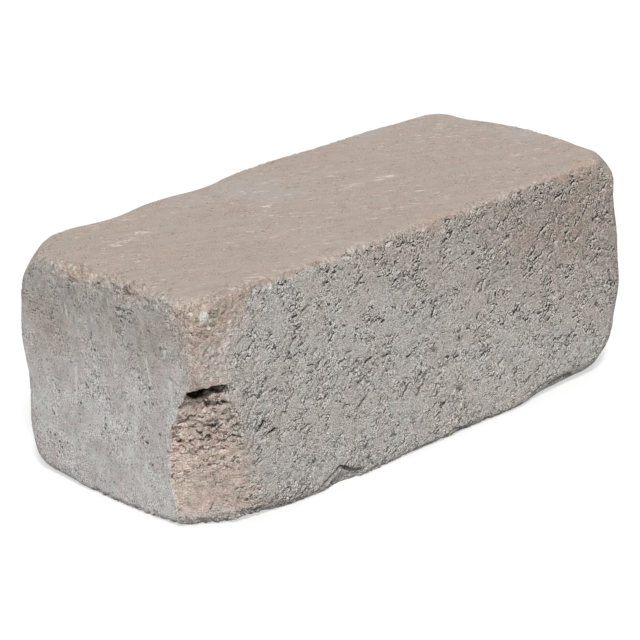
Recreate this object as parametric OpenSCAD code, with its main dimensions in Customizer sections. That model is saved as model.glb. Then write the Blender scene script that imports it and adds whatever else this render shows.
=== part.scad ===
// Tumbled concrete wall block.
//
// One casting with two flat bed faces. Tumbling wore every arris by its own
// amount, most of all at the corners. It also broke a deep spall out of the
// lower front left corner, under a ledge, and chips out of the other arrises.
// The mould tore slanting marks in the two long faces.
// The origin is the centre of the lower bed face. +X runs along the block,
// -Y is the front face and +Z is up.

/* [Block] */
// Length of the block, end to end
block_length = 381; // [320:1:460]
// Depth of the block, front face to back face
block_depth = 178; // [140:1:240]
// Height of the block, bed face to bed face
block_height = 152; // [120:1:200]

/* [Tumbling] */
// Wear of the arrises, where 1 is a fully tumbled block
arris_wear = 1; // [0.6:0.05:1.1]
// How much the worn radius swells and shrinks along an arris
unevenness = 0.8; // [0:0.1:1.5]

/* [Corner spall] */
// Height of the ledge over the spall, above the lower bed face
spall_height = 94; // [60:1:110]
// Reach of the spall along the front face
spall_front_reach = 46; // [25:1:60]
// Reach of the spall along the end face
spall_end_reach = 35; // [20:1:50]
// Rise of the ledge's underside, from the broken surface out to the corner
ledge_rise = 6; // [0:1:12]
// How far the crevice under the ledge runs in behind the broken surface
crevice_depth = 10; // [0:1:14]
// Height of that crevice
crevice_height = 4; // [3:1:12]
// Depth of the cracks between the layers of the broken surface
crack_depth = 2.2; // [0:0.2:5]
// Distance between those cracks
crack_spacing = 10; // [6:0.5:20]

/* [Flaked arris] */
// Thickness that flaked off the front face, at the arris above the ledge
flake_depth = 2.5; // [0.5:0.5:6]
// Width of the flaked strip along the front face
flake_width = 32; // [15:1:50]

/* [Arris chips] */
// Length of the largest chip, on the lower front arris
chip_length = 34; // [15:1:50]
// Depth of the largest chip, square to its arris
chip_bite = 6; // [3:0.5:10]

/* [Torn marks] */
// Depth of the main marks torn in the two long faces
mark_depth = 1.8; // [0.6:0.2:3]
// Width of a mark, as a share of its length
mark_width = 0.3; // [0.15:0.05:0.5]

/* [Hidden] */

block = [block_length, block_depth, block_height];
half = block / 2;
X = 0;
Y = 1;
Z = 2;
// How far the cutters run outside the block
clear = 12;

// Depth knocked off each corner: left then right, front before back, bottom before top
corner_loss = [10, 25, 9, 12, 9, 17, 17, 12];
// Radius that every arris is worn to where it reaches a corner
corner_radius = 13;
// Distance over which a knocked corner's flat rounds into the faces
corner_softness = 6;

// Worn radius along each arris between its corners, from its low end to its high
// end. An arris is known by its sides in X, Y and Z, with 0 along its own direction.
arrises = [
    [[0, -1, -1], [15, 4, 3, 3, 6, 8, 5, 17, 20]],
    [[0, -1, 1], [6, 7, 8, 6, 9, 8, 6, 7, 11]],
    [[0, 1, -1], [8, 6, 9, 12, 6, 7, 10, 6, 9]],
    [[0, 1, 1], [8, 15, 8, 12, 3, 3, 4, 6, 10]],
    [[-1, 0, -1], [9, 3, 3, 5, 12]],
    [[-1, 0, 1], [8, 8, 9, 9, 13]],
    [[1, 0, -1], [14, 8, 6, 9, 12]],
    [[1, 0, 1], [14, 8, 3, 8, 14]],
    [[-1, -1, 0], [10, 8, 5, 4]],
    [[-1, 1, 0], [7, 10, 6, 11]],
    [[1, -1, 0], [29, 16, 20, 24]],
    [[1, 1, 0], [9, 8, 7, 9]],
];

// Distances from an arris at which the worn surface is sampled
rings = [0, 2, 4.5, 8, 13, 20, 30];
// Longest step between samples along an arris
sample_step = 8;
// Distance over which the wear of two arrises blends where they meet
blend = 8;
// Wavelengths of the swells along an arris
swells = [127, 83, 59];

// Smooth step from 0 to 1
function ease(t) = t * t * (3 - 2 * t);

// Value of a list at a share t of its length, eased between its entries
function along(list, t) =
    let (u = min(max(t, 0), 1) * (len(list) - 1), i = min(floor(u), len(list) - 2))
    list[i] + (list[i + 1] - list[i]) * ease(u - i);

// A wave of the given length, at a distance d
function wave(d, length) = sin(360 * d / length);

// ---- Worn casting ----

// Each arris: its direction, its sides, and its worn radii from corner to corner
worn_arrises = [for (a = arrises)
    [search(0, a[0])[0], a[0], concat([corner_radius], a[1], [corner_radius])]];

// Swell of the worn radius at a point q of the unworn box
function swell(q) =
    unevenness * (wave(q.x + q.z, swells[0]) + wave(q.y - q.x, swells[1]) + wave(q.z + q.y, swells[2]));

// Distance, squared, from q to an arris
function off_arris(q, sides) =
    let (away = [for (k = [X:Z]) sides[k] == 0 ? 0 : half[k] - sides[k] * q[k]]) away * away;

// Worn radius at a point q of the unworn box: each arris counts by its nearness
function worn_radius(q) =
    let (
        nearness = [for (a = worn_arrises) pow(off_arris(q, a[1]) + blend * blend, -2)],
        radii = [for (a = worn_arrises) along(a[2], q[a[0]] / block[a[0]] + 0.5)],
        ones = [for (a = worn_arrises) 1]
    )
    arris_wear * (nearness * radii / (nearness * ones) + swell(q));

// A value, held above zero by a rounded step
function above_zero(v, softness) = v > softness ? v : pow(max(0, v + softness), 2) / (4 * softness);

// A point p near a corner, moved in to the flat where the corner was knocked off
function knocked(p) =
    let (
        sides = [for (v = p) v < 0 ? -1 : 1],
        loss = corner_loss[(sides + [1, 1, 1]) * [1, 2, 4] / 2],
        depth = ([for (k = [X:Z]) half[k] * sides[k]] - p) * sides / sqrt(3)
    )
    p - sides / sqrt(3) * above_zero(arris_wear * loss - depth, corner_softness);

// The point q of the unworn box, moved in to the worn surface
function worn(q) =
    let (
        r = worn_radius(q),
        core = [for (k = [X:Z]) min(max(q[k], r - half[k]), half[k] - r)],
        out = q - core
    )
    knocked(core + out * r / norm(out));

// Sample lines across one direction of the box, dense near the arrises
function lines(h) =
    let (inner = h - rings[len(rings) - 1], n = ceil(2 * inner / sample_step))
    concat(
        [for (d = rings) d - h],
        [for (i = [1:n - 1]) 2 * inner * i / n - inner],
        [for (i = [len(rings) - 1:-1:0]) h - rings[i]]
    );

// A point at n along the axis a, and at u and v along the two that follow it
function placed(a, n, u, v) = a == X ? [n, u, v] : a == Y ? [v, n, u] : [u, v, n];

// One face of the block: its sample points, with the face's centre last
function face_points(a, side) =
    let (us = lines(half[(a + 1) % 3]), vs = lines(half[(a + 2) % 3]))
    [
        for (u = us) for (v = vs) worn(placed(a, side * half[a], u, v)),
        placed(a, side * half[a], 0, 0)
    ];

// Triangles of one face: two to each cell near the arrises, and a flat fan inside
function face_triangles(a, side, first) =
    let (
        nu = len(lines(half[(a + 1) % 3])),
        nv = len(lines(half[(a + 2) % 3])),
        rim = len(rings) - 1,
        cells = [for (i = [0:nu - 2]) for (j = [0:nv - 2])
            if (min(i, nu - 2 - i, j, nv - 2 - j) < rim) first + i * nv + j],
        loop = concat(
            [for (i = [rim:nu - 1 - rim]) first + i * nv + rim],
            [for (j = [rim + 1:nv - 1 - rim]) first + (nu - 1 - rim) * nv + j],
            [for (i = [nu - 2 - rim:-1:rim]) first + i * nv + nv - 1 - rim],
            [for (j = [nv - 2 - rim:-1:rim + 1]) first + rim * nv + j]
        ),
        triangles = concat(
            [for (c = cells) each [[c, c + nv + 1, c + nv], [c, c + 1, c + nv + 1]]],
            [for (k = [0:len(loop) - 1]) [first + nu * nv, loop[(k + 1) % len(loop)], loop[k]]]
        )
    )
    side > 0 ? triangles : [for (t = triangles) [t[0], t[2], t[1]]];

module worn_casting() {
    faces = [for (a = [X:Z]) for (side = [-1, 1]) [a, side]];
    points = [for (f = faces) face_points(f[0], f[1])];
    firsts = [for (i = 0, n = 0; i < len(faces); n = n + len(points[i]), i = i + 1) n];
    polyhedron(
        [for (p = points) each p],
        [for (i = [0:len(faces) - 1]) each face_triangles(faces[i][0], faces[i][1], firsts[i])]
    );
}

// ---- Corner spall ----

// Reach of the spall from the bottom up to the ledge, as shares of its reach
spall_front = [1, 0.96, 0.88, 0.78, 0.68, 0.62, 0.48];
spall_end = [0.80, 0.89, 0.98, 1, 0.90, 0.66, 0.34];
// How gently the broken surface leaves the front face, where 1 is a straight bevel
spall_curl = 1.5;
// Height, as a share of the spall's, below which its cracks fade out
crack_fade = 0.4;
// Samples of the broken surface, up and across
spall_rows = 34;
spall_columns = 14;
// Wear of the spall's lower rim, and the height that it reaches up to
toe_wear = 6;
toe_height = 9;

// Roughness of the broken surface at each of its samples, which dies out at its rims
spall_grain = 0.5;
grains = [for (i = [0:spall_rows]) rands(-spall_grain, spall_grain, spall_columns + 1, i + 11)];

// How far the cracks wander up and down, each way with its own share across for a wave
crack_wander = 3;
crack_wander_share = 0.85;
crack_ripple = 2;
crack_ripple_share = 0.43;
// Slant of that ripple, as the height over which it moves one share across
crack_slant = 70;
// How sharply a crack closes, away from its middle
crack_sharpness = 6;
// Depth of the broad hollows of the broken surface
hollow_depth = 1.5;

// How far a crack is open at a height z: 1 in its middle and 0 between cracks
function crack(z) = pow(cos(180 * z / crack_spacing), crack_sharpness);

// Share of their depth that the cracks have at a height z
function cracked(z) = ease(min(max((z / spall_height - crack_fade) / (1 - crack_fade), 0), 1));

// How much of its full depth a crack has, which comes and goes across the surface
function crack_strength(s, z) = 0.65 + 0.35 * wave(z / crack_spacing + 2 * s, 2.9);

// Depth of the broken surface behind a plain bevel, at a share s across and a height z
function broken_depth(s, z) =
    let (
        inner = 4 * s * (1 - s),
        layer = z + crack_wander * wave(s, crack_wander_share)
            + crack_ripple * wave(s + z / crack_slant, crack_ripple_share),
        hollow = hollow_depth * wave(z - 8, 2.2 * spall_height) * wave(s + 0.1, 1.6)
    )
    crevice_depth * sqrt(inner) * exp(-pow((spall_height - z) / crevice_height, 2))
        + crack_depth * sqrt(inner) * cracked(z) * crack(layer) * crack_strength(s, layer)
        + toe_wear * pow(max(0, 1 - z / toe_height), 2)
        + hollow * inner;

// A point of the broken surface, at a share s from the front face to the end face
function broken(s, z) =
    let (
        front = spall_front_reach * along(spall_front, z / spall_height),
        end = spall_end_reach * along(spall_end, z / spall_height),
        inner = 4 * s * (1 - s),
        grain = grains[round(z / spall_height * spall_rows)][round(s * spall_columns)],
        depth = (broken_depth(s, z) + grain * sqrt(inner)) / sqrt(2)
    )
    [front * (1 - s) + depth, end * pow(s, spall_curl) + depth, z];

// What the spall took: a stack of level outlines, each closed outside the corner
module corner_spall() {
    heights = concat([-clear], [for (i = [0:spall_rows]) spall_height * i / spall_rows]);
    outlines = [for (h = heights) let (z = max(h, 0)) [
        let (p = broken(0, z)) [p.x, -clear, h],
        for (j = [0:spall_columns]) let (p = broken(j / spall_columns, z)) [p.x, p.y, h],
        let (p = broken(1, z)) [-clear, p.y, h],
        [-clear, -clear, h]
    ]];
    n = len(outlines[0]);
    top = (len(heights) - 1) * n;
    last = n - 1;
    roofed = [for (i = [0:len(heights) - 1]) for (j = [0:last])
        outlines[i][j] + (i == len(heights) - 1 && j == last ? [0, 0, ledge_rise] : [0, 0, 0])];
    walls = [for (i = [0:len(heights) - 2]) for (j = [0:last])
        let (a = i * n + j, b = i * n + (j + 1) % n)
        each (i + j) % 2 == 0 ? [[a, a + n, b + n], [a, b + n, b]] : [[a, a + n, b], [b, a + n, b + n]]];
    caps = [for (j = [0:n - 3]) each [[last, j, j + 1], [top + last, top + j + 1, top + j]]];
    translate(-half)
        polyhedron(roofed, concat(walls, caps));
}

// ---- Flake and chips ----

// How far the flaked strip runs down beside the spall, where it fades out
flake_overlap = 22;

// The shallow strip that flaked off the front face, from beside the spall to the top
module arris_flake() {
    translate([-half.x, -half.y, spall_height - flake_overlap - half.z])
        linear_extrude(block_height)
            polygon([[flake_width, 0], [flake_width, -clear], [-clear, -clear], [-clear, flake_depth]]);
}

// Chips: the arris's sides, the place along it, the size against the largest
// chip, and how far the bite leans from the arris's first side to its second
chips = [
    [[0, -1, -1], 0.295, 1, 20],
    [[0, -1, -1], 0.575, 0.8, 50],
    [[0, -1, -1], 0.84, 0.6, 50],
    [[0, 1, -1], 0.35, 0.9, 30],
    [[0, 1, -1], 0.72, 0.6, 60],
    [[0, 1, 1], 0.22, 0.5, 40],
    [[1, 0, -1], 0.6, 0.6, 40],
    [[1, 1, 0], 0.45, 0.7, 45],
];

// A ball that scoops a chip out of an arris, with its centre outside the block
module chip(sides, place, size, lean) {
    first = sides[X] == 0 ? Y : X;
    bite = size * chip_bite;
    radius = (pow(size * chip_length / 2, 2) + bite * bite) / (2 * bite);
    centre = [for (k = [X:Z]) sides[k] == 0 ? (place - 0.5) * block[k]
        : sides[k] * (half[k] + (radius - bite) * (k == first ? cos(lean) : sin(lean)))];
    translate(centre)
        sphere(radius, $fn = 40);
}

// ---- Torn marks ----

// The marks of the front face: the place along it and up it, as shares of the
// block, the length, and the slant. The back face has the same marks, turned round.
marks = [
    [0.143, 0.36, 13, 10], [0.122, 0.40, 12, 45], [0.109, 0.26, 9, 25], [0.172, 0.42, 7, 36],
    [0.201, 0.70, 10, 35], [0.211, 0.74, 6, 36], [0.245, 0.62, 7, 27], [0.093, 0.79, 8, 25],
    [0.232, 0.82, 10, 14], [0.306, 0.34, 7, 10], [0.342, 0.33, 10, 30], [0.319, 0.57, 6, 0],
    [0.361, 0.50, 10, 12], [0.400, 0.49, 6, 0], [0.455, 0.45, 9, 20], [0.471, 0.27, 8, 58],
    [0.469, 0.62, 6, 5], [0.526, 0.17, 6, 12], [0.626, 0.65, 7, 8], [0.671, 0.26, 6, 36],
    [0.794, 0.70, 7, 30], [0.823, 0.58, 7, 10], [0.907, 0.18, 8, 62], [0.914, 0.34, 8, 150],
];
// How far a mark's cutter stands out of the face
mark_rise = 0.6;
// Outline of a mark 2 long and 2 wide, clockwise from its lower end, and the ends of its keel
mark_outline = [[-1, -0.3], [-0.4, 0.6], [0.5, 1], [1, 0.4], [0.3, -0.7], [-0.5, -1]];
mark_keel = [[-0.5, 0], [0.5, 0.4]];

// A wedge that tears one mark out of the front face
module torn_mark(length) {
    size = [length, mark_width * length] / 2;
    rim = [for (p = mark_outline) [p.x * size.x, -mark_rise, p.y * size.y]];
    keel = [for (p = mark_keel) [p.x * size.x, mark_depth, p.y * size.y]];
    polyhedron(concat(rim, keel), [
        [0, 1, 2, 3, 4, 5],
        [1, 0, 6], [1, 6, 7], [2, 1, 7], [3, 2, 7],
        [4, 3, 7], [4, 7, 6], [5, 4, 6], [0, 5, 6],
    ]);
}

module torn_marks() {
    for (turn = [0, 180]) rotate(turn)
        for (m = marks)
            translate([(m[0] - 0.5) * block.x, -half.y, (m[1] - 0.5) * block.z])
                rotate([0, -m[3], 0])
                    torn_mark(m[2]);
}

module wall_block() {
    color("#a79e96")
        translate([0, 0, half.z])
            difference() {
                worn_casting();
                corner_spall();
                arris_flake();
                for (c = chips) chip(c[0], c[1], c[2], c[3]);
                torn_marks();
            }
}

wall_block();
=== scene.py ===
"""Looks of the tumbled concrete wall block.

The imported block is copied, given an even skin of fine faces and weathered: torn marks
and scales in the long faces, pores in the ends, crumbled arrises and a layered fracture
in the spalled corner. Its finish is one concrete material, which blends the tones of
those zones. Lengths on the block are in millimetres until the mesh is written.
"""

import math

import bmesh
import bpy
import numpy as np
from mathutils import Matrix, Vector, noise


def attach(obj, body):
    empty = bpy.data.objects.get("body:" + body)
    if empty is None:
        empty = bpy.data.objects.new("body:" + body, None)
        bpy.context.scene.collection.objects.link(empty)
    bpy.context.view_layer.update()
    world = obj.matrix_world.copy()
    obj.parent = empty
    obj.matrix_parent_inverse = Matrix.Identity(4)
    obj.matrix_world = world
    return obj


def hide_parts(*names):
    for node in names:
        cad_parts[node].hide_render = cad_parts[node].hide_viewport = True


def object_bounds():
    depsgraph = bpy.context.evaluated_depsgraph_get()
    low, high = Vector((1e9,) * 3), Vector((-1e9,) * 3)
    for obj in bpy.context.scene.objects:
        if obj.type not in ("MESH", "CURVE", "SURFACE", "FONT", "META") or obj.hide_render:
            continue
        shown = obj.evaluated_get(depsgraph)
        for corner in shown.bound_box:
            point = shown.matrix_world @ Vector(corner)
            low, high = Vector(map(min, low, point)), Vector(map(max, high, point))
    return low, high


MM = 0.001

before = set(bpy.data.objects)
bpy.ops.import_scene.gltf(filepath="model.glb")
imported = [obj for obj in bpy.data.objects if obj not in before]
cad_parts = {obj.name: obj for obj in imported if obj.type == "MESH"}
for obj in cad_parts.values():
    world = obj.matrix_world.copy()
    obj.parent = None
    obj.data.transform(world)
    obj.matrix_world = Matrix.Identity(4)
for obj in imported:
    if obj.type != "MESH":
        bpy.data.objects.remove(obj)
cad_low, cad_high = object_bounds()
low, high = np.array(cad_low) / MM, np.array(cad_high) / MM
span = high - low
centre = Vector((cad_low + cad_high) / 2)


# ---- Camera ----

VIEW_AZIMUTH, VIEW_ELEVATION, VIEW_ROLL = (math.radians(a) for a in (-41.9, 20.1, 3.33))
VIEW_DISTANCE = 1.8656
VIEW_LENS = 160
# How far the camera aims to the left of the block's centre and above it
AIM_LEFT, AIM_UP = math.radians(0.275), math.radians(0.275)


def place_camera():
    """The camera, aimed near the block's centre and rolled a little."""
    back = Vector((
        math.sin(VIEW_AZIMUTH) * math.cos(VIEW_ELEVATION),
        -math.cos(VIEW_AZIMUTH) * math.cos(VIEW_ELEVATION),
        math.sin(VIEW_ELEVATION),
    ))
    right = Vector((0, 0, 1)).cross(back).normalized()
    turn = Matrix((right, back.cross(right), back)).transposed()
    turn = turn @ Matrix.Rotation(-VIEW_ROLL, 3, "Z")
    turn = turn @ Matrix.Rotation(AIM_LEFT, 3, "Y") @ Matrix.Rotation(-AIM_UP, 3, "X")
    camera = bpy.data.objects.new("camera", bpy.data.cameras.new("camera"))
    camera.data.lens = VIEW_LENS
    camera.matrix_world = Matrix.Translation(centre + back * VIEW_DISTANCE) @ turn.to_4x4()
    bpy.context.scene.collection.objects.link(camera)
    bpy.context.scene.camera = camera


place_camera()


# ---- Skin of the block ----

# Distance between the points of the skin while it is weathered
SKIN_STEP = 0.6
SKIN_TRIANGLES = 195_000
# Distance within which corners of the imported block's faces are one point
MERGED = 0.01
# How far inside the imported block's box the skin stays
KEPT_INSIDE = 0.01


def new_piece(name, mesh):
    """An object for a mesh, at the origin and in the scene."""
    piece = bpy.data.objects.new(name, mesh)
    bpy.context.scene.collection.objects.link(piece)
    return piece


def shaped(piece, kind, **settings):
    """A new mesh: the piece's own, with one modifier applied."""
    modifier = piece.modifiers.new(kind.title(), kind)
    for name, value in settings.items():
        setattr(modifier, name, value)
    graph = bpy.context.evaluated_depsgraph_get()
    mesh = bpy.data.meshes.new_from_object(piece.evaluated_get(graph))
    piece.modifiers.clear()
    return mesh


def even_skin():
    """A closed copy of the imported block, with even, fine faces."""
    packed = bmesh.new()
    packed.from_mesh(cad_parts["wall_block"].data)
    bmesh.ops.remove_doubles(packed, verts=packed.verts, dist=MERGED * MM)
    mesh = bpy.data.meshes.new("concrete_block")
    packed.to_mesh(mesh)
    packed.free()
    piece = new_piece("concrete_block", mesh)
    piece.data = shaped(piece, "REMESH", mode="VOXEL", voxel_size=SKIN_STEP * MM)
    return piece


def vectors_of(items, name):
    """One row of three numbers for each item, such as the place of each point of a mesh."""
    values = np.empty(len(items) * 3, np.float32)
    items.foreach_get(name, values)
    return values.reshape(-1, 3).astype(float)


def set_points(mesh, points):
    """Moves a mesh's points to new places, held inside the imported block's box."""
    points = np.clip(points, low + KEPT_INSIDE, high - KEPT_INSIDE)
    mesh.vertices.foreach_set("co", (points * MM).astype(np.float32).ravel())


# ---- Patterns over the points of the skin ----
#
# The shift moves a pattern to another part of the noise, so that no two patterns coincide.

# Shifts of the noise that moves points along X, Y and Z
WAVE_SHIFTS = (21.7, 43.1, 65.9)
# How much weaker and finer each next octave of rubble is
RUBBLE_ROUGHNESS, RUBBLE_FINENESS = 0.7, 2.1
# Spreads the stones' places, so that each stone draws a value of its own
STONE_SPREAD = 37.3


def ramp(value, start, end):
    """0 at start and 1 at end, eased between them."""
    share = np.clip((value - start) / (end - start), 0, 1)
    return share * share * (3 - 2 * share)


def lumps(points, size, shift):
    """Smooth random values of about -0.8 to 0.8, in lumps about size across."""
    return np.fromiter(map(noise.noise, (points / size + shift).tolist()), float, len(points))


def rubble(points, size, shift, octaves):
    """Random values with ever finer detail, the coarsest about size across."""
    return np.fromiter(
        (noise.fractal(p, RUBBLE_ROUGHNESS, RUBBLE_FINENESS, octaves)
         for p in (points / size + shift).tolist()),
        float, len(points))


def stones(points, size, shift):
    """Distance to the nearest of scattered stones, the gap to the next, and a value for each."""
    found = [noise.voronoi(p) for p in (points / size + shift).tolist()]
    near = np.array([d[0] for d, _ in found])
    gap = np.array([d[1] - d[0] for d, _ in found])
    chance = np.array([noise.cell(at[0] * STONE_SPREAD) for _, at in found])
    return near, gap, chance


def wavy(points, size, reach):
    """The points, each moved a little by smooth noise, so that patterns on them bend."""
    moved = [lumps(points, size, shift) for shift in WAVE_SHIFTS]
    return points + reach * np.stack(moved, axis=1)


def off_line(along, up, start, end):
    """How far points of a face lie off a line drawn on it, and their share of its length."""
    (x, z), (to_x, to_z) = start, end
    run, rise = to_x - x, to_z - z
    share = np.clip(((along - x) * run + (up - z) * rise) / (run * run + rise * rise), 0, 1)
    return np.hypot(along - x - share * run, up - z - share * rise), share


def nearest_line(along, up, lines):
    """How far points of a face lie off the nearest of some polylines drawn on it."""
    pairs = [pair for line in lines for pair in zip(line, line[1:])]
    return np.min([off_line(along, up, start, end)[0] for start, end in pairs], axis=0)


def drawn(points, picked, axes, lines, bend, width):
    """1 on polylines drawn over the picked points, bent by noise, and 0 elsewhere."""
    bent = wavy(points[picked], *bend)
    mask = np.zeros(len(points))
    mask[picked] = 1 - ramp(nearest_line(bent[:, axes[0]], bent[:, axes[1]], lines), *width)
    return mask


def near_any(points, places):
    """1 at the middle of the nearest of the given places, and 0 from its radius outwards."""
    found = np.zeros(len(points))
    for place, radius in places:
        away = np.linalg.norm(points - np.array(place), axis=1)
        found = np.maximum(found, 1 - away / radius)
    return found


# ---- Zones of the block ----
#
# A pair of lengths gives the two sides of a zone's soft border.

# Power of the normal that tells the ends, the long faces and the beds apart
FACING = 4
# Height of the upper arrises, and the stretch in from the left end, where wear is wider
UPPER_ARRISES, LEFT_STRETCH = (120, 138), (12, 30)
# Band beside an arris in which it crumbles, and what is added to it high up on the ends
ARRIS_BAND, END_BAND = (1, 6), (4, 6)
# Height of the beige rubbing of the arrises, and of the rubbing round the corners
RUBBED_HEIGHT, RUBBED_CORNER = (128, 146), (100, 140)
# Distance in from the end over which that rubbing of a corner fades out
CORNER_FADE = (12, 30)

# The spall's reach along the front and the end, the height of the ledge over it, and its rise
SPALL_FRONT, SPALL_END, LEDGE, LEDGE_RISE = 46, 35, 94, 5
# Shares of that reach along the front, from the bottom up to the ledge
SPALL_TAPER = (1, 0.96, 0.88, 0.78, 0.68, 0.62, 0.48)
# Depth behind the faces, and under the ledge, over which the fracture begins, and how
# far in from the corner it can lie, as a share of the spall's reach
FRACTURE_BEHIND, FRACTURE_UNDER, FRACTURE_REACH = (0.3, 1.3), (0, 1.2), 1.5
# Height from the bottom rim over which the pink stone appears, how far under the ledge
# and how deep behind the front face it also shows beside the fracture
BARE_RISE, BARE_UNDER, BARE_BEHIND = (3, 16), 6, 12
# Height of the painted shade in the crevice under that ledge, how much that shade narrows
# at the crevice's narrow end, and where that end begins and ends, from the block's end
CREVICE, CREVICE_CLOSING, CREVICE_TAIL = 8, 4, (9, 20)
# Width of the flaked strip beside the arris above the ledge, how much wider it is at the
# top, the heights between which it widens, how deep behind the front face it reaches,
# and how far under the ledge
FLAKE_WIDTH, FLAKE_FLARE, FLAKE_WIDENS, FLAKE_REACH, FLAKE_UNDER = 27, 24, (112, 150), 9, 9

# Pebbles laid bare: their place and radius
PEBBLES = (
    ((-181, -88, 142), 4.2), ((-188, -83, 145), 3.2), ((-187, -36, 146), 3.4),
    ((-185, 50, 146), 3.6), ((-187, 2, 146), 2.6), ((-140, -86, 148), 2.2),
    ((-176, -88, 118), 2.0),
)
# Rusty stains: their place and radius
STAINS = (
    ((10, -89, 151), 12), ((27, -88, 151), 8), ((150, -86, 150), 17), ((128, -88, 150), 9),
)
# Swarms of pores in the ends: their place and radius
SWARMS = (
    ((-189, -27, 128), 10), ((-189, 24, 55), 10), ((-189, 56, 98), 6), ((-189, -25, 40), 9),
    ((-189, -36, 53), 8), ((-189, 8, 54), 7), ((-189, 15, 76), 9), ((-189, 60, 30), 8),
    ((189, 22, 104), 11), ((189, -34, 62), 9), ((189, 40, 38), 10),
)
# Greyish lime bloom on the upper face: its place and radius
BLOOMS = (
    ((-22, 56, 151), 34), ((-18, 28, 151), 24), ((-60, 70, 151), 20), ((112, 80, 151), 24),
    ((182, 50, 151), 16), ((178, -8, 151), 18),
)
# Pale scuffs on the upper face: points along it and across it
SCUFFS = (
    ((-152, 33), (-137, 35), (-123, 39), (-117, 37)), ((-123, 39), (-112, 28)),
    ((20, 4), (58, -3)),
)
# Drips of lime down the left end: across it and up it, from end to end
DRIPS = (
    ((-10, 86), (-10, 120)), ((-63, 73), (-61, 121)), ((-20, 48), (-28, 62)),
    ((34, 60), (30, 92)), ((-44, 96), (-43, 112)),
)
# Heights over which the ends take on a rough crust, and its distance behind the front face
CRUST_RISE, CRUST_BEHIND = (62, 140), (12, 34)
# Height of the painted shade round the foot
FOOT = (1, 7)
# How far in from the left end drips are drawn, and the height above which scuffs are
DRIPS_WITHIN, SCUFFS_ABOVE = 30, 140


def from_corner(points):
    """How far points lie from the left end and from the front face, and their height."""
    return points[:, 0] - low[0], points[:, 1] - low[1], points[:, 2]


def under_ledge(points):
    """How far in from the corner points lie, with 1 at the spall's reach, and how far under."""
    inset = points - low
    corner = inset[:, 0] / SPALL_FRONT + inset[:, 1] / SPALL_END
    return corner, LEDGE + LEDGE_RISE * (1 - corner) - points[:, 2]


def facing(normals):
    """How far each point belongs to an end, a long face and a bed, by the way it faces."""
    share = normals ** FACING
    # Facing down, only the flat bed itself is a bed: the rim round it is as rough as the sides
    share[:, 2] *= ramp(normals[:, 2], -0.2, 0.2) + ramp(-normals[:, 2], 0.9, 0.98)
    share /= share.sum(axis=1, keepdims=True)
    return share[:, 0], share[:, 1], share[:, 2]


def spall_zones(points, uneven, face):
    """The broken surface, the painted shade in the crevice at its top, and the pink stone that it
    lays bare.
    """
    from_end, from_face, height = from_corner(points)
    corner, under = under_ledge(points)
    behind = np.minimum(from_end, from_face)
    fracture = (
        ramp(behind, *FRACTURE_BEHIND) * ramp(FRACTURE_REACH - corner, 0, 0.2)
        * ramp(under, *FRACTURE_UNDER))
    gap = CREVICE - CREVICE_CLOSING * ramp(from_end, *CREVICE_TAIL)
    crevice = fracture * ramp(behind, 1, 3) * (1 - ramp(under, gap - 2, gap))
    levels = np.linspace(0, 1, len(SPALL_TAPER))
    reach = SPALL_FRONT * np.interp(height / LEDGE, levels, SPALL_TAPER)
    beside = (
        face * ramp(LEDGE - BARE_UNDER - height, 0, 6) * ramp(BARE_BEHIND - from_face, 0, 3))
    bare = ramp(1.06 - from_end / reach + 0.32 * uneven, -0.15, 0.45)
    bare = bare * ramp(height + 7 * uneven, *BARE_RISE)
    return fracture, crevice, bare * np.maximum(fracture, beside)


def worn_zones(points, uneven, end, fracture):
    """The crumbled arrises, the flaked strip, and the skin that tumbling rubbed beige."""
    inset = np.minimum(points - low, high - points)
    from_end, from_face, height = from_corner(points)
    raised = ramp(height, *UPPER_ARRISES)
    near_end = 1 - ramp(from_end, *LEFT_STRETCH)
    edge = np.sort(inset, axis=1)[:, 1] + 3 * uneven
    edge -= 3 * raised * near_end
    starts, ends = (band + more * raised * end for band, more in zip(ARRIS_BAND, END_BAND))
    wear = 1 - ramp(edge, starts, ends)
    flake_edge = FLAKE_WIDTH + FLAKE_FLARE * ramp(height, *FLAKE_WIDENS) + 5 * uneven
    flake = (
        ramp(flake_edge - from_end, 0, 7)
        * ramp(FLAKE_REACH - from_face, 0, 4)
        * ramp(height - LEDGE + FLAKE_UNDER, 0, 7)
        * (1 - fracture)
    )
    rubbed = wear * ramp(height + 6 * uneven, *RUBBED_HEIGHT)
    rubbed = rubbed * ramp(lumps(points, 34, 8.3), -0.42, -0.1)
    rubbed = ramp(rubbed + 0.25 * near_end, 0.35, 0.95)
    round_corner = 1 - ramp(inset[:, 0] + 2.5 * inset[:, 1] + 6 * uneven, *CORNER_FADE)
    round_corner = ramp(height, *RUBBED_CORNER) * round_corner
    rubbed = np.maximum(np.maximum(rubbed, 0.8 * round_corner), flake) * (1 - fracture)
    return wear * (1 - fracture), flake, rubbed


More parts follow.
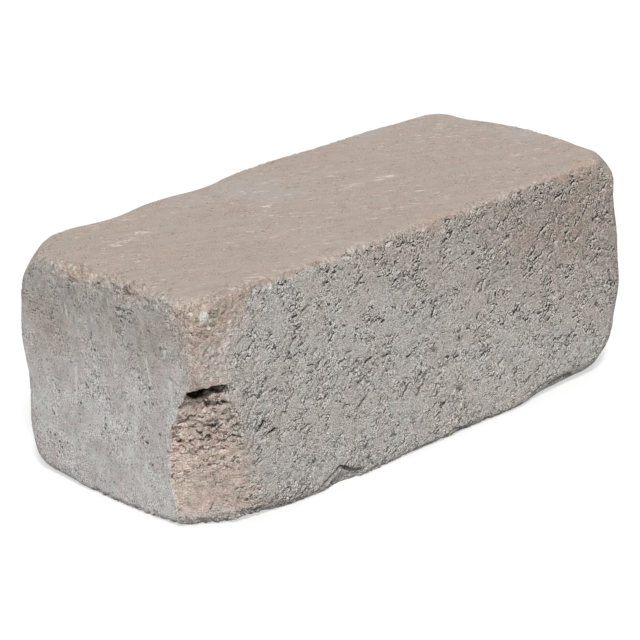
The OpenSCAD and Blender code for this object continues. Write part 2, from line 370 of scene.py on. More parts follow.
def zones(points, normals):
    """How far each point lies in each zone of the block, from 0 to 1."""
    end, face, bed = facing(normals)
    from_end, from_face, height = from_corner(points)
    uneven = lumps(points, 8, 3.9) + 0.6 * lumps(points, 3.1, 0.7)
    fracture, crevice, bare = spall_zones(points, uneven, face)
    arris, flake, rubbed = worn_zones(points, uneven, end, fracture)
    crust = end * ramp(height + 22 * lumps(points, 26, 6.1), *CRUST_RISE)
    return {
        "bed": bed,
        "end": end,
        "face": face,
        "arris": arris,
        "rubbed": rubbed,
        "tears": (face * (1 - 0.7 * np.maximum(rubbed, fracture))
                  * (0.7 + 0.3 * ramp(0.3 * points[:, 0] + height, 10, 120))),
        "foot": (1 - ramp(height + 3 * uneven, *FOOT)) * (1 - bed),
        "fracture": fracture,
        "bare": bare,
        "flake": flake,
        "crevice": crevice,
        "pebble": ramp(near_any(points, PEBBLES), 0.05, 0.3),
        "stain": ramp(near_any(points, STAINS) + 0.35 * uneven, 0.05, 0.55),
        "swarm": ramp(near_any(points, SWARMS) + 0.3 * uneven, 0.1, 0.6),
        "bloom": ramp(near_any(points, BLOOMS) + 0.5 * lumps(points, 9, 4.6), 0.1, 0.6),
        "drip": end * drawn(points, from_end < DRIPS_WITHIN, (1, 2), DRIPS,
                            bend=(4, 1.5), width=(0.8, 3.6)),
        "scuff": bed * drawn(points, height > SCUFFS_ABOVE, (0, 1), SCUFFS,
                             bend=(6, 2.5), width=(0.6, 3.6)),
        "crumbled": (ramp(70 - from_end, 0, 25) * ramp(40 - from_face, 0, 20)
                     * ramp(20 - height, 0, 8)),
        "soiled": np.maximum(
            ramp(0.5 * points[:, 0] + 1.1 * height + 12 * lumps(points, 60, 2.9), 70, 240), crust),
        "crust": 0.6 * crust * ramp(from_face, *CRUST_BEHIND),
    }


# ---- Weathering ----

# Slant of the marks that the mould dragged into the long faces, above the horizontal
DRAG_ANGLE = math.radians(26)
DRAG = np.array([math.cos(DRAG_ANGLE), 0.0, math.sin(DRAG_ANGLE)])
# Direction in which the pits undercut their rims
UNDERCUT = np.array([-math.sin(DRAG_ANGLE), 0.0, math.cos(DRAG_ANGLE)])

# The main torn marks of the front face: the place along it and up it, as shares of
# the block, the length, and the slant in degrees. The back face has them turned round.
MARKS = (
    (0.143, 0.36, 13, 10), (0.122, 0.40, 12, 45), (0.109, 0.26, 9, 25), (0.172, 0.42, 7, 36),
    (0.201, 0.70, 10, 35), (0.211, 0.74, 6, 36), (0.245, 0.62, 7, 27), (0.093, 0.79, 8, 25),
    (0.232, 0.82, 10, 14), (0.306, 0.34, 7, 10), (0.342, 0.33, 10, 30), (0.319, 0.57, 6, 0),
    (0.361, 0.50, 10, 12), (0.400, 0.49, 6, 0), (0.455, 0.45, 9, 20), (0.471, 0.27, 8, 58),
    (0.469, 0.62, 6, 5), (0.526, 0.17, 6, 12), (0.626, 0.65, 7, 8), (0.671, 0.26, 6, 36),
    (0.794, 0.70, 7, 30), (0.823, 0.58, 7, 10), (0.907, 0.18, 8, 62), (0.914, 0.34, 8, 150),
)
MARK_DEPTH = 1.9
# Share of its length that a mark's line runs to each side of its middle
MARK_REACH = 0.4
# Half the width of a mark at its ends, and how much it swells towards the middle
MARK_TIP, MARK_SWELL = 0.4, 1.7
# Broken upper edges of the chips along the lower front arris: points along it and up it
CHIP_EDGES = (
    ((-96, 5), (-91, 8), (-86, 10.5), (-82, 12.5), (-78, 11.5), (-74, 8.5), (-69, 6), (-64, 5)),
    ((96, 7), (101, 9)),
    ((119, 8.5), (126, 9.5), (131, 8.5), (137, 5)),
)
# Depth and half width of the dark gap behind such an edge, and how far in and up gaps lie
SPLIT_DEPTH, SPLIT_WIDTH = 2.6, (0.8, 2.0)
SPLITS_WITHIN, SPLITS_BELOW = 30, 16
# Distance between the torn scales of the long faces, up their undercut, their depth,
# and the depth of the holes torn between them
SCALE_STEP, SCALE_DEPTH, HOLE_DEPTH = 8, 0.75, 0.7
# Distance between the coarse and between the fine layers of the fracture, and how much
# they arch about the line that lies so far along the front
COARSE_LAYER, FINE_LAYER, LAYER_ARCH, LAYER_CROWN = 8.5, 4.2, 0.004, 5
# Height above which the layers of the fracture open wide, and how deep the coarse ones do
OPEN_LAYERS, OPEN_DEPTH = (44, 60), 3.6
# Share of its depth by which a pit undercuts its rim
UNDERCUT_SHARE = 0.6
# Mean depth and breadth of the dimples all over the skin
DIMPLE_DEPTH, DIMPLE_SIZE = 0.22, 30
# Breadth of the crumbs, and their depth on the long faces, where those are coarse, on the
# ends and on the beds
CRUMB_SIZE, FACE_CRUMBS, COARSE_CRUMBS, END_CRUMBS, BED_CRUMBS = 3.0, 0.06, 0.45, 0.08, 0.03
# Where the front face is coarse: along it and up it
COARSE_ALONG, COARSE_UP = (20, 120), (60, 135)
# Breadth of the stones in the crumbled arrises, and the depth worn away round them
ARRIS_STONE, ARRIS_DEPTH = 4.2, 1.5
# Depth at which pits, and cracks of the fracture, begin to take painted shade with some dirt,
# and how much deeper they are wholly dark
DARK_PIT, DARK_CRACK = (0.7, 0.8), (1.7, 1.2)
# Zones and depths that the finish reads from the skin
NOTES = (
    "bed", "end", "face", "rubbed", "tears", "foot", "fracture", "bare", "crevice", "pebble",
    "stain", "swarm", "drip", "scuff", "bloom", "soiled", "crust", "hollow",
)


def dragged(points, along, across):
    """The points, with the drag direction and the one across it scaled down to one unit each."""
    return np.stack([
        points @ DRAG / along,
        points[:, 1] / along,
        points @ UNDERCUT / across,
    ], axis=1)


def marked(points):
    """The main torn marks: how deep they are at points of the long faces."""
    bent = wavy(points, 2.6, 1.8)
    side = np.where(points[:, 1] < 0, 1, -1)
    along, up = (bent[:, 0] * side - low[0]) / span[0], bent[:, 2] / span[2]
    depth = np.zeros(len(points))
    for place, height, length, slant in MARKS:
        run = MARK_REACH * length * math.cos(math.radians(slant))
        rise = MARK_REACH * length * math.sin(math.radians(slant))
        x, z = (along - place) * span[0], (up - height) * span[2]
        away, share = off_line(x, z, (-run, -rise), (run, rise))
        width = MARK_TIP + MARK_SWELL * share * (1 - share)
        depth = np.maximum(depth, MARK_DEPTH * (1 - ramp(away, 0.4 * width, width)))
    return depth


def split(points):
    """The dark gaps behind the chips' broken edges: how deep they are."""
    bent = wavy(points, 3, 1.0)
    away = nearest_line(bent[:, 0], bent[:, 2], CHIP_EDGES)
    return SPLIT_DEPTH * (1 - ramp(away, *SPLIT_WIDTH))


def pitting(points):
    """Torn scales of the long faces: how deep each lies under the lip of the next."""
    cluster = 0.30 * lumps(points, 24, 5.1) + 0.25 * lumps(points, 9, 2.7)
    across = (points @ UNDERCUT / SCALE_STEP + 1.6 * lumps(dragged(points, 11, 7), 1, 8.9)
              + 0.3 * lumps(points, 2.6, 4.1))
    scale = (across % 1) ** 7 * ramp(cluster + 0.4 * lumps(points, 5, 1.1), 0.0, 0.08)
    torn = lumps(dragged(wavy(points, 4, 1.2), 4.6, 2.0), 1, 3.3) + cluster
    return SCALE_DEPTH * scale + HOLE_DEPTH * ramp(torn, 0.56, 0.60)


def pores(points, size, odds, width, depth):
    """Round pores, in the stones' places that chance picks."""
    near, _, chance = stones(points, size, 4.4)
    return depth * (chance > 1 - 2 * odds) * (1 - ramp(near, 0.5 * width, width))


def layers(points):
    """Depth of the fracture's layers: short arched cracks, each under a lip that overhangs it."""
    bent = wavy(points, 7, 3.0)
    across = (bent[:, 0] - low[0]) - (bent[:, 1] - low[1])
    arch = bent[:, 2] + LAYER_ARCH * (across - LAYER_CROWN) ** 2
    coarse = arch / COARSE_LAYER + 0.45 * lumps(points, 5, 9.1) + 0.2 * lumps(points, 2.2, 1.7)
    fine = arch / FINE_LAYER + 1.1 * lumps(points, 4, 6.2)
    upper = ramp(points[:, 2], *OPEN_LAYERS)
    open_here = ramp(lumps(points, 5.5, 14.2), -0.08, 0.08)
    chipped = ramp(lumps(points, 3.6, 3.6), 0.0, 0.2)
    return (OPEN_DEPTH * upper * open_here * (coarse % 1) ** 4
            + (0.6 + 1.8 * upper) * chipped * (fine % 1) ** 3
            + (1.2 + 0.3 * upper) * (0.8 + rubble(points, 5, 2.2, 4)))


def closing(points):
    """How far the lower lip of the crevice rises to close its narrow end."""
    _, under = under_ledge(points)
    return 0.75 * ramp(points[:, 0] - low[0], *CREVICE_TAIL) * under * np.exp(-(under / 6) ** 2)


def carved(points, where, pattern):
    """The depth that a pattern gives the points picked out, and 0 for the others."""
    depth = np.zeros(len(points))
    depth[where] = pattern(points[where])
    return depth


def weather(piece):
    """Carves the skin inwards, zone by zone, and notes on it what the finish needs to know."""
    mesh = piece.data
    points = vectors_of(mesh.vertices, "co") / MM
    normals = vectors_of(mesh.vertex_normals, "vector")
    zone = zones(points, normals)
    plain = 1 - zone["fracture"]
    crumbs = rubble(points, CRUMB_SIZE, 1.3, 3)

    # Scales, torn marks and chips of the long faces, with weaker scales on the back face
    long_side = zone["face"] * plain > 0.02
    pits = carved(points, long_side, pitting)
    pits *= zone["face"] * plain * (1 - 0.5 * ramp(points[:, 1], -20, 20))
    pits[long_side] = np.maximum(pits[long_side], marked(points[long_side]))
    chipped = (points[:, 1] < low[1] + SPLITS_WITHIN) & (points[:, 2] < SPLITS_BELOW)
    pits[chipped] = np.maximum(pits[chipped], split(points[chipped]))

    # Unevenness of the whole skin, then each kind of face, coarsest at the front's upper right
    coarse = zone["face"] * ramp(points[:, 0], *COARSE_ALONG) * ramp(points[:, 2], *COARSE_UP)
    depth = DIMPLE_DEPTH * (1 + rubble(points, DIMPLE_SIZE, 0.0, 3)) * (1 - 0.7 * zone["bed"])
    depth += pits
    depth += zone["face"] * plain * (FACE_CRUMBS + COARSE_CRUMBS * coarse) * (1 + crumbs)
    end_pores = pores(points, size=9, odds=0.22, width=0.13, depth=1.2)
    depth += zone["end"] * plain * (END_CRUMBS * (1 + crumbs) + end_pores)
    bed_pores = pores(points, size=16, odds=0.16, width=0.05, depth=0.8)
    depth += zone["bed"] * (BED_CRUMBS * (1 + crumbs) + bed_pores)

    # Crumbled arrises, where stones stand out of the worn cement
    front = 1 - 0.6 * ramp(points[:, 1], 10, 60)
    ragged = np.maximum(zone["arris"] * front, 0.6 * zone["flake"])
    ragged *= (1 - zone["pebble"]) * (1 + 0.8 * zone["crumbled"])
    worn = ragged > 0.02
    pebbled = np.zeros(len(points))
    near, gap, _ = stones(wavy(points[worn], 4, 1.2), ARRIS_STONE, 7.7)
    pebbled[worn] = 0.8 * near + 0.5 * (1 - ramp(gap, 0, 0.25)) + 0.35 * crumbs[worn]
    depth += ragged * np.clip(pebbled, 0, None) * ARRIS_DEPTH

    broken = zone["fracture"] > 0
    torn = carved(points, broken, layers)
    depth += zone["fracture"] * torn
    depth = np.clip(depth, 0, None) * (1 - 0.9 * zone["pebble"])

    moved = points - normals * depth[:, None] + UNDERCUT * (UNDERCUT_SHARE * pits)[:, None]
    moved[broken, 2] += zone["fracture"][broken] * closing(points[broken])
    set_points(mesh, moved)

    # Deep pits and cracks, to be painted darker: painted shade with some dirt
    dark_pit = (pits - DARK_PIT[0]) / DARK_PIT[1]
    dark_crack = zone["fracture"] * (torn - DARK_CRACK[0]) / DARK_CRACK[1]
    zone["hollow"] = np.clip(dark_pit + dark_crack, 0, 1)
    for name in NOTES:
        note = mesh.attributes.new(name, "FLOAT", "POINT")
        note.data.foreach_set("value", zone[name].astype(np.float32))
    mesh.update()


block = even_skin()
weather(block)
block.data = shaped(
    block, "DECIMATE", ratio=SKIN_TRIANGLES / (2 * len(block.data.polygons)),
    use_collapse_triangulate=True)
block.data.name = "concrete_block"
set_points(block.data, vectors_of(block.data.vertices, "co") / MM)
for face in block.data.polygons:
    face.use_smooth = True
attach(block, "root")
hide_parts("wall_block")


# ---- Node helpers ----

def put(tree, kind, inputs=(), **settings):
    """A node with its settings, and each input given a value or joined to a socket."""
    made = tree.nodes.new(kind)
    for name, value in settings.items():
        setattr(made, name, value)
    for name, value in dict(inputs).items():
        if isinstance(value, bpy.types.NodeSocket):
            tree.links.new(value, made.inputs[name])
        else:
            made.inputs[name].default_value = value
    return made


def sums(tree, operation, a, b, c=0.5):
    """The result of one sum, such as MULTIPLY or ADD."""
    return put(tree, "ShaderNodeMath", {0: a, 1: b, 2: c}, operation=operation).outputs[0]


def blended(tree, share, a, b, blend_type="MIX"):
    """Colour a, with colour b mixed in by a share."""
    return put(tree, "ShaderNodeMix", {0: share, 6: a, 7: b}, data_type="RGBA",
               blend_type=blend_type).outputs[2]


def laid(tree, mask, amount, under, over):
    """One colour laid over another where the mask is, by some amount at most."""
    return blended(tree, sums(tree, "MULTIPLY", mask, amount), under, over)


def ranged(tree, value, start, end, to_start=0.0, to_end=1.0):
    """A value eased from one range into another, and held at its ends."""
    return put(tree, "ShaderNodeMapRange", {0: value, 1: start, 2: end, 3: to_start, 4: to_end},
               interpolation_type="SMOOTHSTEP").outputs[0]


def clouds(tree, place, size, detail, roughness):
    """Noise whose lumps are about size millimetres across."""
    return put(tree, "ShaderNodeTexNoise",
               {"Vector": place, "Scale": 1 / (size * MM), "Detail": detail,
                "Roughness": roughness}).outputs["Fac"]


def bent_place(tree, place, size, reach):
    """A place moved by noise: the size of its lumps and how far they move it, in millimetres."""
    bend = put(tree, "ShaderNodeTexNoise", {"Vector": place, "Scale": 1 / (size * MM)})
    return put(tree, "ShaderNodeVectorMath",
               {0: bend.outputs["Color"], 1: (reach * MM,) * 3, 2: place},
               operation="MULTIPLY_ADD").outputs[0]


def noted(tree, name):
    """A zone or depth that weathering noted on the skin."""
    return put(tree, "ShaderNodeAttribute", attribute_name=name).outputs["Fac"]


def new_group(name, inputs, outputs):
    """An empty node group with its named sockets, and its two end nodes."""
    tree = bpy.data.node_groups.new(name, "ShaderNodeTree")
    for label, kind, value in inputs:
        socket = tree.interface.new_socket(label, in_out="INPUT", socket_type=kind)
        if value is not None:
            socket.default_value = value
    for label, kind in outputs:
        tree.interface.new_socket(label, in_out="OUTPUT", socket_type=kind)
    return tree, tree.nodes.new("NodeGroupInput").outputs, tree.nodes.new("NodeGroupOutput")


def use(tree, group, **values):
    """A node group placed in a material, with its own values."""
    made = put(tree, "ShaderNodeGroup", node_tree=group)
    for name, value in values.items():
        socket = made.inputs[name.replace("_", " ")]
        if isinstance(value, bpy.types.NodeSocket):
            tree.links.new(value, socket)
        else:
            socket.default_value = value
    return made.outputs


def linear(value):
    """One 0 to 255 value of a display, as linear light."""
    share = value / 255
    return share / 12.92 if value <= 10 else ((share + 0.055) / 1.055) ** 2.4


def colour(r, g, b):
    """A colour given in the 0 to 255 values of a display."""
    return (linear(r), linear(g), linear(b), 1.0)


# ---- Effects ----

VECTOR, NUMBER, COLOUR = "NodeSocketVector", "NodeSocketFloat", "NodeSocketColor"
PLAIN_GREY = (0.3, 0.3, 0.3, 1)
# Faint tints that cement takes in patches, as shares of its own tone
GREENISH, PINKISH = (0.945, 1.01, 0.955, 1), (1.04, 0.975, 1.0, 1)
# How far below its groove the painted highlight of a torn mark lies, in half widths of the groove
HIGHLIGHT_SHIFT = 1.55
# Size of the smallest torn marks and of the largest, as shares of the given length and width
SMALLEST, LARGEST = 0.3, 0.7
# How far the slants of the torn marks swing to each side
SLANT_SWING = 0.6
# Share of its radius over which a pore or stone is flat
FLAT_SHARE = 0.6
# Spacing of the pores
PORE_SPACING = 3.2


def torn_marks():
    """Group: short grooves scattered along X, and a painted highlight below each, in millimetres.
    """
    tree, given, result = new_group(
        "torn marks",
        [("Place", VECTOR, None), ("Spacing", NUMBER, 8.0), ("Length", NUMBER, 6.0),
         ("Width", NUMBER, 1.0), ("Odds", NUMBER, 0.1)],
        [("Groove", NUMBER), ("Highlight", NUMBER)])
    scale = sums(tree, "DIVIDE", 1 / MM, given["Spacing"])
    cells = put(tree, "ShaderNodeTexVoronoi", {"Vector": given["Place"], "Scale": scale})
    chance = put(tree, "ShaderNodeSeparateColor", {"Color": cells.outputs["Color"]}).outputs
    off = put(tree, "ShaderNodeVectorMath", {0: given["Place"], 1: cells.outputs["Position"]},
              operation="SUBTRACT").outputs[0]
    off = put(tree, "ShaderNodeSeparateXYZ", {"Vector": off}).outputs
    slant = sums(tree, "MULTIPLY_ADD", chance["Blue"], 2 * SLANT_SWING, -SLANT_SWING)
    across = sums(tree, "MULTIPLY_ADD", off["X"], slant, off["Z"])
    size = sums(tree, "MULTIPLY_ADD", chance["Green"], MM * (LARGEST - SMALLEST), MM * SMALLEST)
    across = sums(tree, "DIVIDE", across, sums(tree, "MULTIPLY", given["Width"], size))
    along = sums(tree, "DIVIDE", off["X"], sums(tree, "MULTIPLY", given["Length"], size))
    along = sums(tree, "MULTIPLY", along, along)
    chosen = sums(tree, "LESS_THAN", chance["Red"], given["Odds"])
    # The groove, and the painted highlight shifted below it
    for label, shift in (("Groove", 0.0), ("Highlight", HIGHLIGHT_SHIFT)):
        moved = sums(tree, "ADD", across, shift)
        away = sums(tree, "MULTIPLY_ADD", moved, moved, along)
        inside = ranged(tree, away, 0.5, 1.0, 1.0, 0.0)
        tree.links.new(sums(tree, "MULTIPLY", chosen, inside), result.inputs[label])
    return tree


def sanded_relief():
    """Group: height of the sand, crumbs, torn marks and pores too fine for the skin's faces."""
    tree, given, result = new_group(
        "sanded relief",
        [("Place", VECTOR, None), ("Sand Height", NUMBER, 1.0), ("Crumb Height", NUMBER, 1.0),
         ("Tear Depth", NUMBER, 0.5), ("Pore Depth", NUMBER, 0.5), ("Pore Odds", NUMBER, 0.3)],
        [("Height", NUMBER), ("Sand", NUMBER), ("Deep", NUMBER), ("Highlight", NUMBER)])
    place, tear_depth = given["Place"], given["Tear Depth"]
    sand = clouds(tree, place, size=1.0, detail=2, roughness=0.65)
    sand = sums(tree, "SUBTRACT", sand, 0.5)
    crumb = clouds(tree, place, size=3.0, detail=2, roughness=0.6)
    # Where the skin is busy, its sand shows more and its marks and pores crowd together
    busy = clouds(tree, place, size=15, detail=3, roughness=0.6)
    grit = ranged(tree, busy, 0.40, 0.60, 0.6, 1.6)
    crowd = ranged(tree, busy, 0.44, 0.60, 0.08, 3.2)

    turned = put(tree, "ShaderNodeMapping", {"Vector": place, "Rotation": (0, DRAG_ANGLE, 0)})
    bent = bent_place(tree, turned.outputs[0], size=3.2, reach=5.0)
    tears = torn_marks()
    main = use(tree, tears, Place=bent, Spacing=7.5, Length=10.0, Width=1.25,
               Odds=sums(tree, "MULTIPLY", crowd, 0.10))
    small = use(tree, tears, Place=bent, Spacing=3.4, Length=4.4, Width=0.9,
                Odds=sums(tree, "MULTIPLY", crowd, 0.20))
    tear, highlight = (
        sums(tree, "MULTIPLY", sums(tree, "MAXIMUM", main[label], small[label]), tear_depth)
        for label in ("Groove", "Highlight"))

    cells = put(tree, "ShaderNodeTexVoronoi", {"Vector": place, "Scale": 1 / (PORE_SPACING * MM)})
    chance = put(tree, "ShaderNodeSeparateColor", {"Color": cells.outputs["Color"]}).outputs
    odds = sums(tree, "MULTIPLY", given["Pore Odds"], crowd)
    chosen = sums(tree, "LESS_THAN", chance["Red"], odds)
    width = sums(tree, "MULTIPLY_ADD", chance["Green"], 0.16, 0.28)
    rounded = sums(tree, "MULTIPLY", width, FLAT_SHARE)
    hole = ranged(tree, cells.outputs["Distance"], rounded, width, 1.0, 0.0)
    pore = sums(tree, "MULTIPLY", sums(tree, "MULTIPLY", hole, chosen), given["Pore Depth"])

    height = sums(tree, "MULTIPLY", sand, given["Sand Height"])
    height = sums(tree, "MULTIPLY_ADD", crumb, given["Crumb Height"], height)
    height = sums(tree, "SUBTRACT", sums(tree, "SUBTRACT", height, tear), pore)
    tree.links.new(height, result.inputs["Height"])
    tree.links.new(sums(tree, "MULTIPLY", sand, grit), result.inputs["Sand"])
    tree.links.new(sums(tree, "MAXIMUM", tear, pore), result.inputs["Deep"])
    tree.links.new(highlight, result.inputs["Highlight"])
    return tree


def cement_tone():
    """Group: a zone's colour, mottled, tinted in patches, and darker and paler with its sand:
    grain tone with painted shade and light.
    """
    tree, given, result = new_group(
        "cement tone",
        [("Place", VECTOR, None), ("Sand", NUMBER, 0.0), ("Tone", COLOUR, PLAIN_GREY),
         ("Patch Tone", COLOUR, PLAIN_GREY), ("Patches", NUMBER, 0.5), ("Mottle", NUMBER, 0.1),
         ("Tint", NUMBER, 0.5), ("Sand Contrast", NUMBER, 0.5)],
        [("Color", COLOUR)])
    place = given["Place"]
    broad = clouds(tree, place, size=38, detail=3, roughness=0.6)
    tone = laid(tree, ranged(tree, broad, 0.42, 0.60), given["Patches"],
                given["Tone"], given["Patch Tone"])
    hue = ranged(tree, clouds(tree, place, size=11, detail=3, roughness=0.65), 0.35, 0.65)
    tint = blended(tree, hue, GREENISH, PINKISH)
    tone = blended(tree, given["Tint"], tone, tint, "MULTIPLY")
    blotch = clouds(tree, place, size=6, detail=4, roughness=0.65)
    blotch = sums(tree, "SUBTRACT", blotch, 0.5)
    light = sums(tree, "MULTIPLY_ADD", blotch, given["Mottle"], 1.0)
    # The sand's lows darker and its highs paler: grain tone with painted shade and painted light
    light = sums(tree, "MULTIPLY_ADD", given["Sand"], given["Sand Contrast"], light)
    lit = put(tree, "ShaderNodeVectorMath", {0: tone, "Scale": light}, operation="SCALE")
    tree.links.new(lit.outputs[0], result.inputs["Color"])
    return tree


def stray_stones():
    """Group: mask of scattered stones or specks that show in the skin, and a shade for each."""
    tree, given, result = new_group(
        "stray stones",
        [("Place", VECTOR, None), ("Spacing", NUMBER, 4.0), ("Odds", NUMBER, 0.2),
         ("Width", NUMBER, 0.4)],
        [("Mask", NUMBER), ("Shade", NUMBER)])
    bent = bent_place(tree, given["Place"], size=2.5, reach=1.5)
    scale = sums(tree, "DIVIDE", 1 / MM, given["Spacing"])
    cells = put(tree, "ShaderNodeTexVoronoi", {"Vector": bent, "Scale": scale})
    chance = put(tree, "ShaderNodeSeparateColor", {"Color": cells.outputs["Color"]}).outputs
    chosen = sums(tree, "LESS_THAN", chance["Red"], given["Odds"])
    rounded = sums(tree, "MULTIPLY", given["Width"], FLAT_SHARE)
    shape = ranged(tree, cells.outputs["Distance"], rounded, given["Width"], 1.0, 0.0)
    tree.links.new(sums(tree, "MULTIPLY", chosen, shape), result.inputs["Mask"])
    tree.links.new(chance["Green"], result.inputs["Shade"])
    return tree


def streaks():
    """Group: mask of parallel streaks. Scale is how many fit in a millimetre of each axis."""
    tree, given, result = new_group(
        "streaks",
        [("Place", VECTOR, None), ("Turn", VECTOR, (0, 0, 0)), ("Scale", VECTOR, (1, 1, 1)),
         ("Threshold", NUMBER, 0.6)],
        [("Mask", NUMBER)])
    turned = put(tree, "ShaderNodeMapping", {"Vector": given["Place"], "Rotation": given["Turn"]})
    scaled = put(tree, "ShaderNodeVectorMath", {0: turned.outputs[0], 1: given["Scale"]},
                 operation="MULTIPLY")
    field = clouds(tree, scaled.outputs[0], size=1.0, detail=2, roughness=0.5)
    full = sums(tree, "ADD", given["Threshold"], 0.06)
    tree.links.new(ranged(tree, field, given["Threshold"], full), result.inputs["Mask"])
    return tree


# ---- Concrete ----

FACE_GREY, FACE_WARM = colour(205, 201, 196), colour(205, 197, 191)
SOILED_GREY, SOILED_BROWN = colour(183, 172, 164), colour(178, 163, 152)
END_GREY, END_PALE = colour(199, 194, 192), colour(211, 209, 207)
END_SOILED = colour(186, 177, 168)
BED_BEIGE, BED_GREY = colour(184, 167, 156), colour(182, 170, 161)
BED_PALE, BLOOM_GREY = colour(190, 176, 166), colour(187, 180, 176)
RUBBED_BEIGE, RUBBED_PALE = colour(201, 183, 170), colour(217, 205, 197)
FRACTURE_PINK, FRACTURE_TAN = colour(213, 190, 179), colour(206, 191, 179)
PEBBLE_WHITE = colour(236, 232, 224)
STONE_WHITE, STONE_PINK = colour(236, 228, 220), colour(207, 184, 177)
# Pale grains of sand, and the painted highlight below each torn mark
SAND_AND_HIGHLIGHT_PALE = colour(238, 234, 228)
SPECK_DARK, SPECK_PINK = colour(128, 124, 116), colour(184, 158, 148)
RUST = colour(188, 161, 144)
# Painted shade, with some dirt in pits, pores, torn marks and cracks; painted shade alone at the
# foot and in the crevice under the ledge
DIRT_AND_SHADE, CRACK_DIRT_AND_SHADE, CREVICE_SHADE = colour(66, 60, 53), colour(78, 60, 50), colour(66, 52, 40)
SCRATCH_PALE, LIME_PALE = colour(228, 216, 205), colour(238, 235, 230)
# Directions, about Z, of the fine scratches and of the broad bands on the beds
SCRATCH_TURN, BAND_TURN = (0, 0, math.radians(35)), (0, 0, math.radians(28))
CONCRETE_ROUGHNESS, CONCRETE_SPECULAR = 0.92, 0.25


def concrete():
    """The block's one material: the tones of its zones, blended, over one fine relief."""
    material = bpy.data.materials.new("concrete")
    material.use_nodes = True
    tree = material.node_tree
    shader = tree.nodes["Principled BSDF"]
    place = put(tree, "ShaderNodeTexCoord").outputs["Object"]
    cement, stray, streak = cement_tone(), stray_stones(), streaks()
    bed, end, fracture, rubbed, soiled, crust = (
        noted(tree, name) for name in ("bed", "end", "fracture", "rubbed", "soiled", "crust"))

    whole = sums(tree, "SUBTRACT", 1.0, fracture)
    split_depth = sums(tree, "MULTIPLY", fracture, 0.7)
    rough = sums(tree, "MAXIMUM", sums(tree, "MAXIMUM", noted(tree, "face"), rubbed), crust)
    swarms = sums(tree, "MULTIPLY_ADD", noted(tree, "swarm"), 0.9, 0.12)
    relief = use(
        tree, sanded_relief(), Place=place,
        Sand_Height=ranged(tree, rough, 0.1, 0.8, 1.4, 2.8),
        Crumb_Height=0.5,
        Tear_Depth=sums(tree, "MAXIMUM", noted(tree, "tears"),
                        sums(tree, "MAXIMUM", split_depth, crust)),
        Pore_Depth=ranged(tree, end, 0.2, 0.8, 0.3, 0.8),
        Pore_Odds=sums(tree, "MULTIPLY", swarms, whole))

    def toned(tone, patch_tone, **amounts):
        """One zone's cement, of its own tone and with patches of another."""
        return use(tree, cement, Place=place, Sand=relief["Sand"],
                   Tone=tone, Patch_Tone=patch_tone, **amounts)["Color"]

    def strewn(under, amount, low_tone, high_tone, change, **amounts):
        """Stones or specks strewn over a tone, their own tone changing at a shade."""
        found = use(tree, stray, Place=place, **amounts)
        own_tone = blended(tree, ranged(tree, found["Shade"], *change), low_tone, high_tone)
        return laid(tree, found["Mask"], amount, under, own_tone)

    face = blended(
        tree, soiled,
        toned(FACE_GREY, FACE_WARM, Patches=0.8, Mottle=0.12, Tint=0.36, Sand_Contrast=3.0),
        toned(SOILED_GREY, SOILED_BROWN, Patches=1.0, Mottle=0.2, Tint=0.75, Sand_Contrast=4.2))
    face = strewn(face, 0.62, SAND_AND_HIGHLIGHT_PALE, SPECK_DARK, (0.7, 0.75),
                  Spacing=1.7, Odds=0.16, Width=0.42)

    ends = blended(
        tree, soiled,
        toned(END_GREY, END_PALE, Patches=1.0, Mottle=0.7, Tint=0.4, Sand_Contrast=2.0),
        toned(END_SOILED, END_GREY, Patches=0.7, Mottle=1.3, Tint=0.6, Sand_Contrast=2.0))
    lime = use(tree, streak, Place=place, Scale=(0.30, 0.30, 0.07),
               Threshold=sums(tree, "MULTIPLY_ADD", noted(tree, "drip"), -0.19, 0.66))["Mask"]
    ends = laid(tree, lime, 0.6, ends, LIME_PALE)
    ends = strewn(ends, 0.7, SPECK_DARK, SPECK_PINK, (0.5, 0.6),
                  Spacing=2.2, Odds=0.2, Width=0.45)

    beds = toned(BED_BEIGE, BED_GREY, Patches=0.7, Mottle=0.42, Tint=0.4, Sand_Contrast=1.3)
    bands = use(tree, streak, Place=place, Turn=BAND_TURN, Scale=(0.02, 0.15, 0.15),
                Threshold=0.48)["Mask"]
    scratch = use(tree, streak, Place=place, Turn=SCRATCH_TURN, Scale=(0.16, 0.8, 0.8),
                  Threshold=sums(tree, "MULTIPLY_ADD", noted(tree, "scuff"), -0.20, 0.63))["Mask"]
    scuffed = clouds(tree, place, size=45, detail=2, roughness=0.5)
    scuffed = ranged(tree, scuffed, 0.42, 0.58, 0.2, 1.0)
    beds = laid(tree, bands, 0.45, beds, BED_PALE)
    beds = laid(tree, noted(tree, "bloom"), 0.5, beds, BLOOM_GREY)
    beds = laid(tree, scratch, scuffed, beds, SCRATCH_PALE)

    worn = toned(RUBBED_BEIGE, RUBBED_PALE,
                 Patches=1.0, Mottle=1.2, Tint=0.6, Sand_Contrast=1.6)
    worn = strewn(worn, 0.9, STONE_WHITE, STONE_PINK, (0.45, 0.50),
                  Spacing=3.8, Odds=0.55, Width=0.55)
    broken = toned(FRACTURE_PINK, FRACTURE_TAN,
                   Patches=0.8, Mottle=1.2, Tint=0.6, Sand_Contrast=1.5)

    skin = blended(tree, end, face, ends)
    skin = blended(tree, bed, skin, beds)
    skin = blended(tree, rubbed, skin, worn)
    skin = laid(tree, noted(tree, "stain"), 0.4, skin, RUST)
    skin = blended(tree, noted(tree, "bare"), skin, broken)
    skin = blended(tree, noted(tree, "pebble"), skin, PEBBLE_WHITE)
    # Painted shade with some dirt in the deep pits and cracks
    shadow = blended(tree, fracture, DIRT_AND_SHADE, CRACK_DIRT_AND_SHADE)
    shaded = sums(tree, "MULTIPLY_ADD", fracture, 0.3, 0.5)
    skin = laid(tree, noted(tree, "hollow"), shaded, skin, shadow)
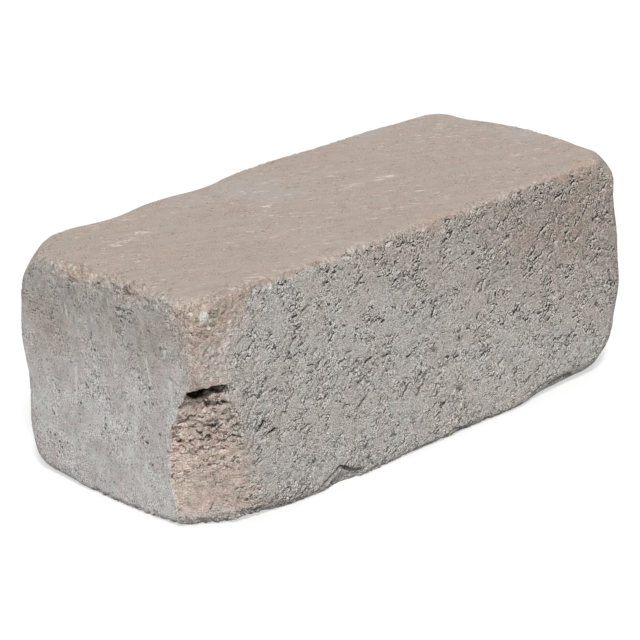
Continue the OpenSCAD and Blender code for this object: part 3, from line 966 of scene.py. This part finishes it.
    # Painted highlight below each torn mark
    skin = laid(tree, relief["Highlight"], 0.9, skin, SAND_AND_HIGHLIGHT_PALE)
    # Painted shade in the grooves of the torn marks and in the pores
    skin = blended(tree, relief["Deep"], skin, shadow)
    # Painted shade round the foot
    skin = laid(tree, noted(tree, "foot"), 0.2, skin, DIRT_AND_SHADE)
    # Painted shade in the crevice under the ledge
    skin = blended(tree, noted(tree, "crevice"), skin, CREVICE_SHADE)
    tree.links.new(skin, shader.inputs["Base Color"])

    bump = put(tree, "ShaderNodeBump",
               {"Height": relief["Height"], "Distance": MM, "Strength": 1.0})
    tree.links.new(bump.outputs[0], shader.inputs["Normal"])
    shader.inputs["Roughness"].default_value = CONCRETE_ROUGHNESS
    shader.inputs["Specular IOR Level"].default_value = CONCRETE_SPECULAR
    return material


block.data.materials.clear()
block.data.materials.append(concrete())


# ---- Studio ----

WHITE = (1, 1, 1, 1)
FLOOR_TONE = (0.55, 0.55, 0.55, 1)
# Half the side of the floor, in metres
FLOOR_REACH = 6
# How much of the floor the camera sees as plain white, under the block's soft shadow
FLOOR_WHITE = 0.6
SKY_STRENGTH = 0.26
# Each lamp: the direction it shines from, its strength, and its spread in degrees
KEY_FROM, KEY_STRENGTH, KEY_SPREAD = Vector((-0.40, -0.55, 0.74)), 3.2, 9
FILL_FROM, FILL_STRENGTH, FILL_SPREAD = Vector((0.62, 0.75, 0.18)), 1.0, 40


def backdrop_rays(tree):
    """1 for rays that show the backdrop itself, to the camera or in gloss and glass."""
    rays = put(tree, "ShaderNodeLightPath").outputs
    return sums(tree, "MAXIMUM", rays["Is Camera Ray"],
                sums(tree, "MAXIMUM", rays["Is Glossy Ray"], rays["Is Transmission Ray"]))


def add_sun(name, origin, strength, spread):
    """A distant lamp that shines from the direction of origin, spread over some degrees of sky."""
    sun = bpy.data.objects.new(name, bpy.data.lights.new(name, "SUN"))
    sun.data.energy = strength
    sun.data.angle = math.radians(spread)
    sun.rotation_euler = origin.to_track_quat("Z", "Y").to_euler()
    bpy.context.scene.collection.objects.link(sun)


def add_floor():
    """A pale floor that the camera sees as nearly white, with the block's shadow on it."""
    mesh = bpy.data.meshes.new("floor")
    sheet = bmesh.new()
    bmesh.ops.create_grid(sheet, x_segments=1, y_segments=1, size=FLOOR_REACH)
    sheet.to_mesh(mesh)
    sheet.free()
    floor = new_piece("floor", mesh)
    paint = bpy.data.materials.new("studio_floor")
    paint.use_nodes = True
    tree = paint.node_tree
    tree.nodes.clear()
    seen = backdrop_rays(tree)
    matt = put(tree, "ShaderNodeBsdfDiffuse", {"Color": FLOOR_TONE}).outputs[0]
    lit = put(tree, "ShaderNodeBsdfDiffuse", {"Color": WHITE}).outputs[0]
    white = put(tree, "ShaderNodeEmission", {"Color": WHITE}).outputs[0]
    shown = put(tree, "ShaderNodeMixShader", {0: FLOOR_WHITE, 1: lit, 2: white}).outputs[0]
    both = put(tree, "ShaderNodeMixShader", {0: seen, 1: matt, 2: shown}).outputs[0]
    put(tree, "ShaderNodeOutputMaterial", {"Surface": both})
    mesh.materials.append(paint)


def add_sky():
    """An even sky, weak as a light and white as a backdrop."""
    world = bpy.data.worlds.new("sky")
    bpy.context.scene.world = world
    world.use_nodes = True
    tree = world.node_tree
    tree.nodes.clear()
    strength = sums(tree, "MULTIPLY_ADD", backdrop_rays(tree), 1 - SKY_STRENGTH, SKY_STRENGTH)
    sky = put(tree, "ShaderNodeBackground", {"Color": WHITE, "Strength": strength})
    put(tree, "ShaderNodeOutputWorld", {"Surface": sky.outputs[0]})


add_floor()
add_sky()
add_sun("key", KEY_FROM, KEY_STRENGTH, KEY_SPREAD)
add_sun("fill", FILL_FROM, FILL_STRENGTH, FILL_SPREAD)
bpy.context.scene.view_settings.view_transform = "Standard"
